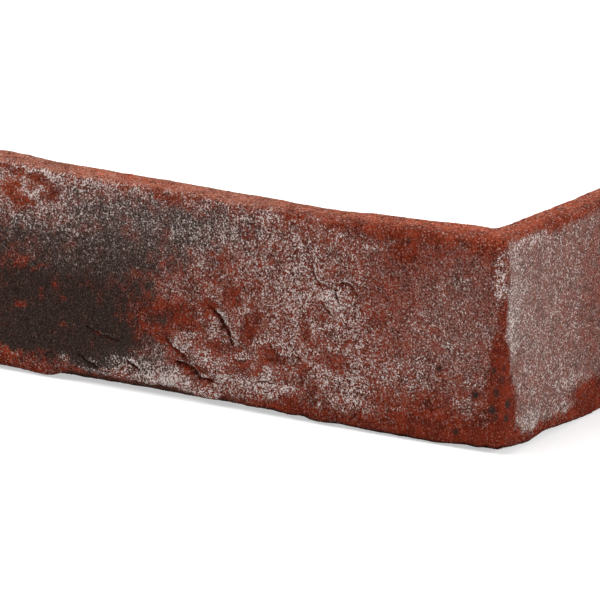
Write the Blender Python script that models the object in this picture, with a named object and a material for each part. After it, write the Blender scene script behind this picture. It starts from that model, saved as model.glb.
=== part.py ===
"""A cast concrete corner cladding stone, the size of one brick course.

The stone wraps the outside corner of a wall: a long leg lies along X and a short leg along Y, and
both were cast in one piece. Its outer faces, beds and arrises copy a hand-moulded brick, so the
course height wanders along the stone, the bed under the face is worn, and the face has folds
where soft clay once crept. Its back is flat, because it is bonded to the wall.

Units are metres, +Z is up, the face looks along -Y and +X, and the origin is at the middle of the
stone's box, on the ground.
"""

import math

import bmesh
import bpy
from mathutils import Vector, noise

MM = 0.001

# Plan and course height
LONG_LEG = 210 * MM
SHORT_LEG = 100 * MM
LONG_THICKNESS = 12 * MM
SHORT_THICKNESS = 10 * MM
COURSE_HEIGHT = 65 * MM

# Rounding in plan and at the beds
OUTER_CORNER_RADIUS = 3.5 * MM
INNER_CORNER_RADIUS = 1.5 * MM
END_RADIUS = 2.2 * MM
BED_ARRIS_RADIUS = 2.2 * MM
ARC_STEPS = 4

# Size of the cells that let the faces follow their waves, and how finely those at a fold are split
CELL = 4 * MM
FOLD_SPLITS = 3
FOLD_REACH = 1.9
LINE_STEPS = 4

# How deep the wear of the lower bed reaches behind the face, and how far up the face it shows
WEAR_DEPTH = 8.5 * MM
WEAR_HEIGHT = 14 * MM

# Slow wander of the outer faces: wave length and height of the two waves that are added up
WANDER = ((38 * MM, 0.50 * MM), (13 * MM, 0.22 * MM))

# Place along the stone (negative on the long leg, zero at the corner) and what is added there to
# the course height
COURSE_WANDER = (
    (-210 * MM, 1.2 * MM),
    (-172 * MM, 2.3 * MM),
    (-152 * MM, 1.3 * MM),
    (-120 * MM, 1.0 * MM),
    (-85 * MM, 0.5 * MM),
    (-58 * MM, 0.0 * MM),
    (-25 * MM, 1.2 * MM),
    (-5 * MM, 2.0 * MM),
    (15 * MM, 1.4 * MM),
    (50 * MM, 1.0 * MM),
    (100 * MM, 1.2 * MM),
)

# Place along the stone and how high the lower arris of the face is worn there
LOWER_WEAR = (
    (-210 * MM, 1.6 * MM),
    (-185 * MM, 1.4 * MM),
    (-163 * MM, 0.9 * MM),
    (-153 * MM, 3.0 * MM),
    (-116 * MM, 3.0 * MM),
    (-107 * MM, 1.9 * MM),
    (-98 * MM, 2.4 * MM),
    (-74 * MM, 1.8 * MM),
    (-62 * MM, 0.6 * MM),
    (-28 * MM, 0.5 * MM),
    (-8 * MM, 1.2 * MM),
    (3 * MM, 1.6 * MM),
    (17 * MM, 0.5 * MM),
    (30 * MM, 1.2 * MM),
    (48 * MM, 0.0 * MM),
    (70 * MM, 0.4 * MM),
    (100 * MM, 1.0 * MM),
)

# Lumps and hollows of the outer faces: place along the stone, height up the face, radius and rise
LUMPS = {
    "limed_lump": (-58 * MM, 41 * MM, 10 * MM, 0.7 * MM),
    "hollow_by_fold": (-109 * MM, 25 * MM, 8 * MM, -0.6 * MM),
    "foot_lump": (-93 * MM, 11 * MM, 10 * MM, 0.6 * MM),
    "middle_hollow": (-80 * MM, 28 * MM, 9 * MM, -0.5 * MM),
    "burnt_hollow": (-160 * MM, 24 * MM, 18 * MM, -0.5 * MM),
    "burnt_lump": (-141 * MM, 9 * MM, 8 * MM, 0.5 * MM),
    "near_corner_lump": (-30 * MM, 28 * MM, 16 * MM, 0.4 * MM),
    "short_leg_lump": (17 * MM, 10 * MM, 9 * MM, 0.5 * MM),
    "short_leg_hollow": (52 * MM, 9 * MM, 10 * MM, -0.5 * MM),
}

# Folds of the face. Each runs through points (place along the stone and height, in mm), is pressed
# in by a depth over a half width, and has a lip of pushed-up material beside it.
FOLDS = {
    "long_fold": (((-106, 31), (-99, 28), (-95, 22), (-91, 18)), 1.1 * MM, 3.4 * MM),
    "upper_fold": (((-119, 19), (-115, 16), (-110, 13)), 0.8 * MM, 3.2 * MM),
    "lower_fold": (((-114, 11), (-108, 9), (-103, 7)), 1.1 * MM, 3.4 * MM),
    "lump_arc": (((-67, 50), (-66, 45), (-61, 43), (-55, 45), (-50, 42)), 0.8 * MM, 3.2 * MM),
    "lump_foot": (((-64, 37), (-59, 34)), 0.7 * MM, 3.2 * MM),
}
LIP_SHARE = 0.4

CONCRETE = (0.24, 0.055, 0.028, 1.0)

CORNER_X = LONG_LEG / 2
FACE_Y = -SHORT_LEG / 2
BACK_X = CORNER_X - SHORT_THICKNESS
BACK_Y = FACE_Y + LONG_THICKNESS


def clear_scene():
    for thing in list(bpy.data.objects):
        bpy.data.objects.remove(thing, do_unlink=True)


def smooth(share):
    """0 to 1 with no kink at either end."""
    share = min(max(share, 0.0), 1.0)
    return share * share * (3 - 2 * share)


def along_curve(knots, place):
    """The value of a smooth line through (place, value) knots."""
    if place <= knots[0][0]:
        return knots[0][1]
    for (start, low), (end, high) in zip(knots, knots[1:]):
        if place <= end:
            return low + (high - low) * smooth((place - start) / (end - start))
    return knots[-1][1]


def arc(centre, radius, start, end):
    """Points of a round corner in plan, from one angle to another, in degrees."""
    turns = [math.radians(start + (end - start) * i / ARC_STEPS) for i in range(ARC_STEPS + 1)]
    return [(centre[0] + radius * math.cos(t), centre[1] + radius * math.sin(t)) for t in turns]


def plan_outline():
    """The L in plan, counterclockwise from the free end of the long leg."""
    far_x, far_y = -LONG_LEG / 2, SHORT_LEG / 2
    points = [(far_x, BACK_Y)]
    points += arc((far_x + END_RADIUS, FACE_Y + END_RADIUS), END_RADIUS, 180, 270)
    points += arc(
        (CORNER_X - OUTER_CORNER_RADIUS, FACE_Y + OUTER_CORNER_RADIUS), OUTER_CORNER_RADIUS, 270, 360
    )
    points += arc((CORNER_X - END_RADIUS, far_y - END_RADIUS), END_RADIUS, 0, 90)
    points += [(BACK_X, far_y)]
    points += arc(
        (BACK_X - INNER_CORNER_RADIUS, BACK_Y + INNER_CORNER_RADIUS), INNER_CORNER_RADIUS, 0, -90
    )
    return points


def plain_block():
    """The plan extruded to the course height, as a bmesh that stands on the ground."""
    plan = bpy.data.curves.new("plan", "CURVE")
    plan.dimensions = "2D"
    plan.fill_mode = "BOTH"
    plan.extrude = COURSE_HEIGHT / 2
    spline = plan.splines.new("POLY")
    outline = plan_outline()
    spline.points.add(len(outline) - 1)
    for point, (x, y) in zip(spline.points, outline):
        point.co = (x, y, 0, 1)
    spline.use_cyclic_u = True
    guide = bpy.data.objects.new("plan", plan)
    bpy.context.scene.collection.objects.link(guide)
    bpy.context.view_layer.update()
    solid = bpy.data.meshes.new_from_object(guide.evaluated_get(bpy.context.evaluated_depsgraph_get()))
    bpy.data.objects.remove(guide, do_unlink=True)
    block = bmesh.new()
    block.from_mesh(solid)
    bmesh.ops.remove_doubles(block, verts=block.verts, dist=0.01 * MM)
    bmesh.ops.dissolve_limit(
        block, angle_limit=math.radians(1), verts=block.verts, edges=block.edges
    )
    bmesh.ops.recalc_face_normals(block, faces=block.faces)
    bmesh.ops.translate(block, verts=block.verts, vec=(0, 0, COURSE_HEIGHT / 2))
    return block


def on_back(point):
    """True for a point on one of the two flat backs or on the round between them."""
    reach = INNER_CORNER_RADIUS + 0.01 * MM
    in_leg = point.x <= BACK_X + 0.01 * MM and point.y >= BACK_Y - 0.01 * MM
    near = min(point.y - BACK_Y, BACK_X - point.x)
    return in_leg and near < reach


def round_beds(block):
    """Rounds the arrises between the faces and the two beds."""
    arrises = [
        edge
        for edge in block.edges
        if abs(edge.verts[0].co.z - edge.verts[1].co.z) < 0.01 * MM
        and not all(on_back(vert.co) for vert in edge.verts)
    ]
    bmesh.ops.bevel(
        block,
        geom=arrises,
        offset=BED_ARRIS_RADIUS,
        segments=3,
        profile=0.5,
        affect="EDGES",
        clamp_overlap=True,
    )


def cut(block, point, normal):
    geometry = block.verts[:] + block.edges[:] + block.faces[:]
    bmesh.ops.bisect_plane(block, geom=geometry, plane_co=point, plane_no=normal, dist=0.001 * MM)


def evenly(start, end, step):
    """Places between two ends, no further apart than a step, without the ends."""
    count = max(1, math.ceil(abs(end - start) / step))
    return [start + (end - start) * i / count for i in range(1, count)]


def slice_into_cells(block):
    """Cuts rings round the legs and lines along them, so that the faces can bend."""
    for x in evenly(-LONG_LEG / 2 + END_RADIUS, BACK_X - INNER_CORNER_RADIUS, CELL):
        cut(block, (x, 0, 0), (1, 0, 0))
    for y in evenly(BACK_Y + INNER_CORNER_RADIUS, SHORT_LEG / 2 - END_RADIUS, CELL):
        cut(block, (0, y, 0), (0, 1, 0))
    for depth in (WEAR_DEPTH / 2, WEAR_DEPTH):
        cut(block, (0, FACE_Y + depth, 0), (0, 1, 0))
        cut(block, (CORNER_X - depth, 0, 0), (1, 0, 0))
    for z in evenly(BED_ARRIS_RADIUS, COURSE_HEIGHT - BED_ARRIS_RADIUS, CELL):
        cut(block, (0, 0, z), (0, 0, 1))


def split_at_folds(block):
    """Splits the cells of the outer faces that a fold or its lip runs through."""
    edges = set()
    for face in block.faces:
        x, y, z = face.calc_center_median()
        across, behind = CORNER_X - x, y - FACE_Y
        if min(across, behind) < 0.1 * MM:
            folds = fold_gaps(behind - across, z)
            if any(gap < FOLD_REACH * half_width for _, half_width, gap, *_ in folds):
                edges.update(face.edges)
    bmesh.ops.subdivide_edges(block, edges=list(edges), cuts=FOLD_SPLITS, use_grid_fill=True)


def flatten_backs(block):
    """Joins the cells of each flat back into one face again."""
    for normal, offset in ((Vector((0, 1, 0)), BACK_Y), (Vector((-1, 0, 0)), -BACK_X)):
        faces = [
            face
            for face in block.faces
            if face.normal.dot(normal) > 0.999
            and abs(face.calc_center_median().dot(normal) - offset) < 0.01 * MM
        ]
        bmesh.ops.dissolve_faces(block, faces=faces, use_verts=True)


def through(points):
    """A smooth line (Catmull-Rom) through points given in mm, as closer points in metres."""
    points = [Vector(point) * MM for point in points]
    points = [2 * points[0] - points[1], *points, 2 * points[-1] - points[-2]]
    line = []
    for a, b, c, d in zip(points, points[1:], points[2:], points[3:]):
        for share in (i / LINE_STEPS for i in range(LINE_STEPS)):
            bend = (2 * a - 5 * b + 4 * c - d) * share**2 + (3 * b - a - 3 * c + d) * share**3
            line.append(b + ((c - a) * share + bend) / 2)
    return line + [points[-2]]


def fold_gaps(place, height):
    """For each fold: its depth and half width, and how far a point is from its line in all, off to
    one side of it (negative on the other), and past its end."""
    spot = Vector((place, height))
    for line, depth, half_width in FOLD_LINES:
        nearest = (1.0, 0.0)
        for start, end in zip(line, line[1:]):
            run = end - start
            share = min(max((spot - start).dot(run) / run.length_squared, 0.0), 1.0)
            away = spot - start - run * share
            nearest = min(nearest, (away.length, (run.x * away.y - run.y * away.x) / run.length))
        gap, aside = nearest
        yield depth, half_width, gap, aside, math.sqrt(max(gap**2 - aside**2, 0.0))


FOLD_LINES = [(through(points), depth, half) for points, depth, half in FOLDS.values()]


def fold_relief(place, height):
    """How far the folds push the face out (positive) or in (negative) at one point of it."""
    relief = 0.0
    for depth, half_width, gap, aside, past_end in fold_gaps(place, height):
        if gap < 3 * half_width:
            from_lip = math.hypot(aside - 1.3 * half_width, past_end)
            relief -= depth * math.exp(-2 * (gap / half_width) ** 2)
            relief += LIP_SHARE * depth * math.exp(-2 * (from_lip / half_width) ** 2)
    return relief


def wander(place, height):
    """The slow waves of a face, with its lumps and hollows."""
    relief = 0.0
    for layer, (length, rise) in enumerate(WANDER):
        relief += rise * noise.noise(Vector((place / length, height / length, layer * 7.3)))
    for lump_place, lump_height, radius, rise in LUMPS.values():
        gap = math.hypot(place - lump_place, height - lump_height)
        relief += rise * (1 - smooth(gap / radius))
    return relief


def weather(block):
    """Moves each point of the plain block to where the moulded stone has it."""
    block.normal_update()
    moved = []
    for vert in block.verts:
        x, y, z = vert.co
        across, behind = CORNER_X - x, y - FACE_Y
        place = behind - across
        depth = min(across, behind)
        near_face = 1 - smooth(depth / WEAR_DEPTH)
        near_bed = 1 - smooth(z / WEAR_HEIGHT)
        up = z * (1 + along_curve(COURSE_WANDER, place) / COURSE_HEIGHT)
        up += along_curve(LOWER_WEAR, place) * near_face * near_bed
        outward = Vector((vert.normal.x, vert.normal.y, 0))
        relief = near_face * (wander(place, z) + fold_relief(place, z))
        moved.append(Vector((x, y, up)) + outward * relief)
    for vert, point in zip(block.verts, moved):
        vert.co = point


def stone_material():
    material = bpy.data.materials.new("pigmented_concrete")
    material.use_nodes = True
    shader = material.node_tree.nodes["Principled BSDF"]
    shader.inputs["Base Color"].default_value = CONCRETE
    shader.inputs["Roughness"].default_value = 0.9
    shader.inputs["Metallic"].default_value = 0.0
    return material


def corner_stone(collection):
    block = plain_block()
    round_beds(block)
    slice_into_cells(block)
    flatten_backs(block)
    split_at_folds(block)
    weather(block)
    mesh = bpy.data.meshes.new("corner_stone")
    block.to_mesh(mesh)
    block.free()
    mesh.materials.append(stone_material())
    mesh.shade_smooth()
    mesh.set_sharp_from_angle(angle=math.radians(40))
    stone = bpy.data.objects.new("corner_stone", mesh)
    collection.objects.link(stone)
    return stone


def main():
    clear_scene()
    collection = bpy.data.collections.new("corner_cladding_stone")
    bpy.context.scene.collection.children.link(collection)
    corner_stone(collection)


main()
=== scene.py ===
# %% [markdown]
# # A cast concrete corner cladding stone
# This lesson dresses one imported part: an L-shaped slip of pigmented concrete that copies a
# hand-moulded brick. The frame gives the solid at its real size. Everything here is added to that
# solid: its fine relief, its colours, its lime crust and the studio that it is looked at in.

import math
from functools import partialmethod

import bmesh
import bpy
import numpy as np
from mathutils import Matrix, Vector, noise


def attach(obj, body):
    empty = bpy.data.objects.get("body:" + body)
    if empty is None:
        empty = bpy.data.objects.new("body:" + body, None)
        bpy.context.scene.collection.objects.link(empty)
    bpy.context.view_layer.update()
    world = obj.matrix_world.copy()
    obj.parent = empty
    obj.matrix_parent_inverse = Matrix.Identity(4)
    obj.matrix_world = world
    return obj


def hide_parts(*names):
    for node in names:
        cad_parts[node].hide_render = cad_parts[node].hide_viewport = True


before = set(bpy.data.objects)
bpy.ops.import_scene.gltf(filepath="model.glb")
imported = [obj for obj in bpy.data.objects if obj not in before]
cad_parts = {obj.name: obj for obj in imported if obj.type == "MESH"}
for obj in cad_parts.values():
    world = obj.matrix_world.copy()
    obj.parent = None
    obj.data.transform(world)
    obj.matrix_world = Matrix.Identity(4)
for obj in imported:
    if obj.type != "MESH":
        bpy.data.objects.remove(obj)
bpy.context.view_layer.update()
MM = 0.001

# %% [markdown]
# The camera comes first, because every later choice is judged through it. The photograph was taken
# from far away with a long lens, so the stone's edges hardly converge. An azimuth, an elevation, a
# small roll and the point in the middle of the picture say all of it. The focal length gives
# 3.3 pixels for each millimetre at the stone's outer corner, on a picture 600 pixels wide.

# %% Camera
AIM = Vector((36.0, -53.4, 39.4)) * MM
CAMERA_AZIMUTH = 31.22
CAMERA_ELEVATION = 14.86
CAMERA_ROLL = 0.5
CAMERA_DISTANCE = 2.5
PICTURE_WIDTH = 600
FOCAL_PIXELS = 8250
SENSOR_WIDTH = 36.0
NEAREST, FARTHEST = 0.1, 20.0

azimuth, elevation = math.radians(CAMERA_AZIMUTH), math.radians(CAMERA_ELEVATION)
aside, back = math.sin(azimuth) * math.cos(elevation), math.cos(azimuth) * math.cos(elevation)
towards_camera = Vector((aside, -back, math.sin(elevation)))
lens = bpy.data.cameras.new("product_camera")
lens.sensor_width = SENSOR_WIDTH
lens.lens = SENSOR_WIDTH * FOCAL_PIXELS / PICTURE_WIDTH
lens.clip_start, lens.clip_end = NEAREST, FARTHEST
camera = bpy.data.objects.new("product_camera", lens)
bpy.context.scene.collection.objects.link(camera)
camera.location = AIM + towards_camera * CAMERA_DISTANCE
roll = Matrix.Rotation(math.radians(CAMERA_ROLL), 4, "Z")
camera.rotation_euler = (towards_camera.to_track_quat("Z", "Y").to_matrix().to_4x4() @ roll).to_euler()
bpy.context.scene.camera = camera
print("lens, mm:", round(lens.lens, 1), "camera at, m:", [round(v, 3) for v in camera.location])

# %% [markdown]
# Node trees are long when each link is written out. This small helper lets a script write them as
# sums: `add` makes a node and fills its inputs, by order or by name, and `math` and `vector` return
# a result that can go straight into the next sum. The sums used most have a plain word each. It
# serves the studio, the shapes and the finishes alike.

# %% Helper for node trees
class Tree:
    """A node tree that is written as plain sums."""

    def __init__(self, tree):
        self.tree, self.nodes, self.links = tree, tree.nodes, tree.links

    def add(self, kind, *values, into=None, **settings):
        """A node with its settings, and with values or links on its first and its named inputs."""
        node = self.nodes.new(kind)
        for key, value in settings.items():
            setattr(node, key, value)
        for key, value in (*enumerate(values), *(into or {}).items()):
            self.put(node.inputs[key], value)
        return node

    def put(self, socket, value):
        if isinstance(value, bpy.types.NodeSocket):
            self.links.new(value, socket)
        elif value is not None:
            socket.default_value = value

    def math(self, operation, *values):
        return self.add("ShaderNodeMath", *values, operation=operation).outputs[0]

    plus = partialmethod(math, "ADD")
    minus = partialmethod(math, "SUBTRACT")
    times = partialmethod(math, "MULTIPLY")
    times_plus = partialmethod(math, "MULTIPLY_ADD")
    over = partialmethod(math, "DIVIDE")
    least = partialmethod(math, "MINIMUM")
    most = partialmethod(math, "MAXIMUM")

    def vector(self, operation, *values):
        return self.add("ShaderNodeVectorMath", *values, operation=operation).outputs[0]

    def scaled(self, vector, factor):
        return self.vector("SCALE", vector, None, None, factor)

    def triple(self, x, y, z):
        return self.add("ShaderNodeCombineXYZ", x, y, z).outputs[0]

    def attribute(self, name):
        return self.add("ShaderNodeAttribute", attribute_name=name).outputs["Fac"]


# %% [markdown]
# The studio is a pale floor, an even sky and three soft lamps. The broad lamp overhead makes the
# upper bed the lightest face, as in the photograph, and rakes down the faces so that each grain
# throws a tiny shadow. A lamp at each side of the camera fills the two faces. The floor and the sky
# are white to the camera alone, so the background is white without any extra light on the stone.

# %% Sky
SKY_LIGHT = 0.26
WHITE = (1, 1, 1, 1)


def white_to_the_eye(tree, plain, white):
    """Mixes in a white shader for the rays that come from the camera or a mirror."""
    path = tree.add("ShaderNodeLightPath").outputs
    seen = tree.most(path["Is Camera Ray"], path["Is Glossy Ray"])
    seen = tree.most(seen, path["Is Transmission Ray"])
    return tree.add("ShaderNodeMixShader", seen, plain, white).outputs[0]


world = bpy.data.worlds.new("studio_sky")
world.use_nodes = True
bpy.context.scene.world = world
sky = Tree(world.node_tree)
even_sky = sky.add("ShaderNodeBackground", WHITE, SKY_LIGHT).outputs[0]
white_sky = sky.add("ShaderNodeBackground", WHITE, 1.0).outputs[0]
sky.put(sky.nodes["World Output"].inputs["Surface"], white_to_the_eye(sky, even_sky, white_sky))

# %% Lamps: place, width and power
LAMPS = {
    "overhead": ((-0.15, -0.25, 1.1), 0.7, 6.5),
    "left_of_camera": ((-1.1, -0.9, 1.0), 0.45, 15.0),
    "right_of_camera": ((1.7, -0.2, 0.6), 0.6, 20.0),
}
LAMP_AIM = Vector((0.03, -0.03, 0.03))

for name, (lamp_place, width, power) in LAMPS.items():
    light = bpy.data.lights.new(name, "AREA")
    light.size = width
    light.energy = power
    lamp = bpy.data.objects.new(name, light)
    lamp.location = lamp_place
    lamp.rotation_euler = (LAMP_AIM - lamp.location).to_track_quat("-Z", "Y").to_euler()
    bpy.context.scene.collection.objects.link(lamp)
print("lamps:", ", ".join(LAMPS))

# %% Floor
FLOOR_COLOUR = (0.75, 0.75, 0.75, 1.0)
FLOOR_ROUGHNESS = 0.9
FLOOR_SIZE = 4.0
FLOOR_DROP = 0.0002
WHITE_FROM, WHITE_BY = 0.25, 0.7
GLOW_NEAR, GLOW_FAR = 0.5, 0.9

floor_mesh = bpy.data.meshes.new("studio_floor")
sheet = bmesh.new()
bmesh.ops.create_grid(sheet, x_segments=1, y_segments=1, size=FLOOR_SIZE)
sheet.to_mesh(floor_mesh)
sheet.free()
floor = bpy.data.objects.new("studio_floor", floor_mesh)
bpy.context.scene.collection.objects.link(floor)
floor.location.z = -FLOOR_DROP

floor_paint = bpy.data.materials.new("studio_floor")
floor_paint.use_nodes = True
paint = Tree(floor_paint.node_tree)
matt = paint.nodes["Principled BSDF"]
matt.inputs["Base Color"].default_value = FLOOR_COLOUR
matt.inputs["Roughness"].default_value = FLOOR_ROUGHNESS
floor_spot = paint.add("ShaderNodeTexCoord").outputs["Object"]
from_stone = paint.add("ShaderNodeVectorMath", floor_spot, operation="LENGTH").outputs["Value"]
lift = paint.add("ShaderNodeMapRange", from_stone, WHITE_FROM, WHITE_BY, GLOW_NEAR, GLOW_FAR).outputs[0]
glow = paint.add("ShaderNodeEmission", WHITE, lift).outputs[0]
lifted = paint.add("ShaderNodeAddShader", matt.outputs[0], glow).outputs[0]
floor_surface = white_to_the_eye(paint, matt.outputs[0], lifted)
paint.put(paint.nodes["Material Output"].inputs["Surface"], floor_surface)
floor_mesh.materials.append(floor_paint)
bpy.context.scene.view_settings.view_transform = "Standard"
print("floor:", floor.name, "white from", WHITE_FROM, "to", WHITE_BY, "m")

# %% [markdown]
# The body of the stone is one slab folded round a corner, a shape that follows a rule, so Geometry
# Nodes make it. A box of small cells is rounded at its edges. Two curves then carry it round the
# corner: one is the line of the face in plan, the other the line of the back. Each cell lands
# between them, at its own share of the thickness. Bending a slab in this way keeps the cells small
# and even on the face and also gives a tidy mitre inside the legs, which a boolean wouldn't.

# %% Sizes of the stone, as in the solid
SIZES = {
    "Long leg": 210 * MM,
    "Short leg": 100 * MM,
    "Long thickness": 12 * MM,
    "Short thickness": 10 * MM,
    "Course height": 65 * MM,
    "Outer corner radius": 3.5 * MM,
    "Inner corner radius": 1.5 * MM,
    "Arris radius": 2.2 * MM,
    "Back arris radius": 0.5 * MM,
    "Bend zone": 16 * MM,
    "Cell": 0.84 * MM,
}
CORNER_X = SIZES["Long leg"] / 2
FACE_Y = -SIZES["Short leg"] / 2


# %% A tree's inputs and its result
class ShapeTree(Tree):
    """A Geometry Nodes tree with named inputs and one result."""

    def __init__(self, name):
        super().__init__(bpy.data.node_groups.new(name, "GeometryNodeTree"))
        self.taken = self.add("NodeGroupInput")

    def attribute(self, name):
        return self.add("GeometryNodeInputNamedAttribute", name, data_type="FLOAT").outputs[0]

    def position(self):
        return self.add("GeometryNodeInputPosition").outputs[0]

    def random(self, low, high, seed):
        """A random number for each element, between two limits."""
        limits = {2: low, 3: high, 8: seed}
        return self.add("FunctionNodeRandomValue", data_type="FLOAT", into=limits).outputs[1]

    def named(self, name, kind="NodeSocketFloat", default=None):
        """A named input of the tree."""
        socket = self.tree.interface.new_socket(name, in_out="INPUT", socket_type=kind)
        if default is not None:
            socket.default_value = default
        return self.taken.outputs[name]

    def give(self, geometry, finish):
        """Ends the tree: the instances are made real and take their finish."""
        real = self.add("GeometryNodeRealizeInstances", geometry).outputs[0]
        painted = self.add("GeometryNodeSetMaterial", real, into={"Material": finish})
        self.tree.interface.new_socket("Shape", in_out="OUTPUT", socket_type="NodeSocketGeometry")
        self.add("NodeGroupOutput", painted.outputs[0])


def bake_tree(name, tree, mesh=None, values=None):
    """Runs a tree on a mesh and gives the result back as a plain object at the origin."""
    carrier = bpy.data.objects.new(name + "_carrier", mesh or bpy.data.meshes.new(name + "_start"))
    bpy.context.scene.collection.objects.link(carrier)
    modifier = carrier.modifiers.new(name, "NODES")
    modifier.node_group = tree
    for socket in tree.interface.items_tree:
        if socket.in_out == "INPUT" and values and socket.name in values:
            modifier[socket.identifier] = values[socket.name]
    bpy.context.view_layer.update()
    evaluated = carrier.evaluated_get(bpy.context.evaluated_depsgraph_get())
    result = bpy.data.meshes.new_from_object(evaluated)
    carrier.modifiers.remove(modifier)
    bpy.data.objects.remove(carrier, do_unlink=True)
    result.name = name
    piece = bpy.data.objects.new(name, result)
    bpy.context.scene.collection.objects.link(piece)
    return piece


# %% The slab as a box of cells
slab = ShapeTree("folded_slab")
size = {name: slab.named(name, default=value) for name, value in SIZES.items()}
stone_finish = slab.named("Finish", "NodeSocketMaterial")
whole = slab.plus(size["Long leg"], size["Short leg"])
slab_size = (whole, size["Long thickness"], size["Course height"])


def cells_along(length):
    """How many points a side of the box needs."""
    return slab.math("CEIL", slab.plus(slab.over(length, size["Cell"]), 1.0))


slab_box = slab.add("GeometryNodeMeshCube", slab.triple(*slab_size), *map(cells_along, slab_size))

# %% Round the edges of the slab
at = slab.position()
behind = slab.add("ShaderNodeSeparateXYZ", at).outputs[1]
in_front = slab.add("FunctionNodeCompare", behind, 0.0, operation="LESS_THAN").outputs[0]
radii = {"Switch": in_front, "False": size["Back arris radius"], "True": size["Arris radius"]}
radius = slab.add("GeometryNodeSwitch", input_type="FLOAT", into=radii).outputs[0]
half = slab.scaled(slab.triple(*slab_size), 0.5)
inner_half = slab.vector("SUBTRACT", half, slab.triple(radius, radius, radius))
core = slab.vector("MINIMUM", at, inner_half)
core = slab.vector("MAXIMUM", core, slab.scaled(inner_half, -1.0))
outwards = slab.vector("NORMALIZE", slab.vector("SUBTRACT", at, core))
rounded = slab.vector("ADD", core, slab.scaled(outwards, radius))
rounded_box = slab.add("GeometryNodeSetPosition", slab_box.outputs["Mesh"], None, rounded)

# %% The lines of the face and the back in plan
CORNER_POINTS = 24


def plan_line(corner_x, corner_y, corner_radius):
    """The line of a face or a back in plan: two straight runs with a round corner between them."""
    far_x, far_y = slab.times(size["Long leg"], -0.5), slab.times(size["Short leg"], 0.5)
    stations = ((far_x, corner_y), (corner_x, corner_y), (corner_x, far_y))
    run = slab.add("GeometryNodeCurvePrimitiveLine").outputs[0]
    run = slab.add("GeometryNodeResampleCurve", run, into={"Count": len(stations)}).outputs[0]
    pick = slab.add("GeometryNodeIndexSwitch", data_type="VECTOR")
    pick.index_switch_items.new()
    slab.put(pick.inputs["Index"], slab.add("GeometryNodeInputIndex").outputs[0])
    for socket, (x, y) in zip(pick.inputs[1:], stations):
        slab.put(socket, slab.triple(x, y, 0.0))
    bent = slab.add("GeometryNodeSetPosition", run, None, pick.outputs[0]).outputs[0]
    rounding = {"Count": CORNER_POINTS, "Radius": corner_radius}
    return slab.add("GeometryNodeFilletCurve", bent, mode="POLY", into=rounding).outputs[0]


corner_x, face_y = slab.times(size["Long leg"], 0.5), slab.times(size["Short leg"], -0.5)
back_x, back_y = slab.minus(corner_x, size["Short thickness"]), slab.plus(face_y, size["Long thickness"])
face_line = plan_line(corner_x, face_y, size["Outer corner radius"])
back_line = plan_line(back_x, back_y, size["Inner corner radius"])

# %% Fold the slab round the corner
zone = size["Bend zone"]
minus_zone, both_zones = slab.times(zone, -1.0), slab.times(zone, 2.0)


def along(line, station):
    """The point of a line at a place, with even stations away from the corner."""
    length = slab.add("GeometryNodeCurveLength", line).outputs[0]
    bend = slab.minus(length, slab.minus(whole, both_zones))
    before = slab.plus(slab.least(station, minus_zone), size["Long leg"])
    after = slab.minus(slab.most(station, zone), zone)
    inside = slab.add("ShaderNodeClamp", station, minus_zone, zone).outputs[0]
    share = slab.over(slab.plus(inside, zone), both_zones)
    travelled = slab.plus(slab.plus(before, after), slab.times(share, bend))
    where = {"Curves": line, "Length": travelled}
    return slab.add("GeometryNodeSampleCurve", mode="LENGTH", into=where).outputs["Position"]


spot = slab.add("ShaderNodeSeparateXYZ", slab.position())
station = slab.plus(spot.outputs[0], slab.minus(slab.times(whole, 0.5), size["Long leg"]))
depth_share = slab.plus(slab.over(spot.outputs[1], size["Long thickness"]), 0.5)
up = slab.plus(spot.outputs[2], slab.times(size["Course height"], 0.5))
lines = {"Factor": depth_share, 4: along(face_line, station), 5: along(back_line, station)}
blend = slab.add("ShaderNodeMix", data_type="VECTOR", into=lines)
folded = slab.vector("ADD", blend.outputs[1], slab.triple(0.0, 0.0, up))
folded_slab = slab.add("GeometryNodeSetPosition", rounded_box.outputs[0], None, folded)
smooth_slab = slab.add("GeometryNodeSetShadeSmooth", folded_slab.outputs[0])
slab.give(smooth_slab.outputs[0], stone_finish)
stone = bake_tree("corner_stone_cast", slab.tree)
print("slab:", len(stone.data.vertices), "points,", len(stone.data.polygons), "faces")
corners = np.array([v.co for v in stone.data.vertices])
print("slab box, mm:", np.round(corners.min(axis=0) / MM, 2), np.round(corners.max(axis=0) / MM, 2))

# %% [markdown]
# A moulded stone is nowhere quite straight. The solid already has the waves of its beds, the lumps
# of its faces and the worn lower bed, and the slab takes the same ones, so that both have the same
# outline. Each is a rule on two numbers: the place along the stone, which is zero at the corner
# and negative on the long leg, and the height. The points are moved all at once as arrays.

# %% Waves of the solid, in mm
COURSE_WANDER = (
    (-210, 1.2), (-172, 2.3), (-152, 1.3), (-120, 1), (-85, 0.5), (-58, 0),
    (-25, 1.2), (-5, 2), (15, 1.4), (50, 1), (100, 1.2),
)
LOWER_WEAR = (
    (-210, 1.6), (-185, 1.4), (-163, 0.9), (-153, 3), (-116, 3), (-107, 1.9), (-98, 2.4),
    (-74, 1.8), (-62, 0.6), (-28, 0.5), (-8, 1.2), (3, 1.6), (17, 0.5), (30, 1.2), (48, 0),
    (70, 0.4), (100, 1),
)
WEAR_DEPTH = 8.5
WEAR_HEIGHT = 14
WANDER = ((38, 0.5), (13, 0.22))
WANDER_LAYER = 7.3
LUMPS = {
    "limed_lump": (-58, 41, 10, 0.7),
    "hollow_by_fold": (-109, 25, 8, -0.6),
    "foot_lump": (-93, 11, 10, 0.6),
    "middle_hollow": (-80, 28, 9, -0.5),
    "burnt_hollow": (-160, 24, 18, -0.5),
    "burnt_lump": (-141, 9, 8, 0.5),
    "near_corner_lump": (-30, 28, 16, 0.4),
    "short_leg_lump": (17, 10, 9, 0.5),
    "short_leg_hollow": (52, 9, 10, -0.5),
}

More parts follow.
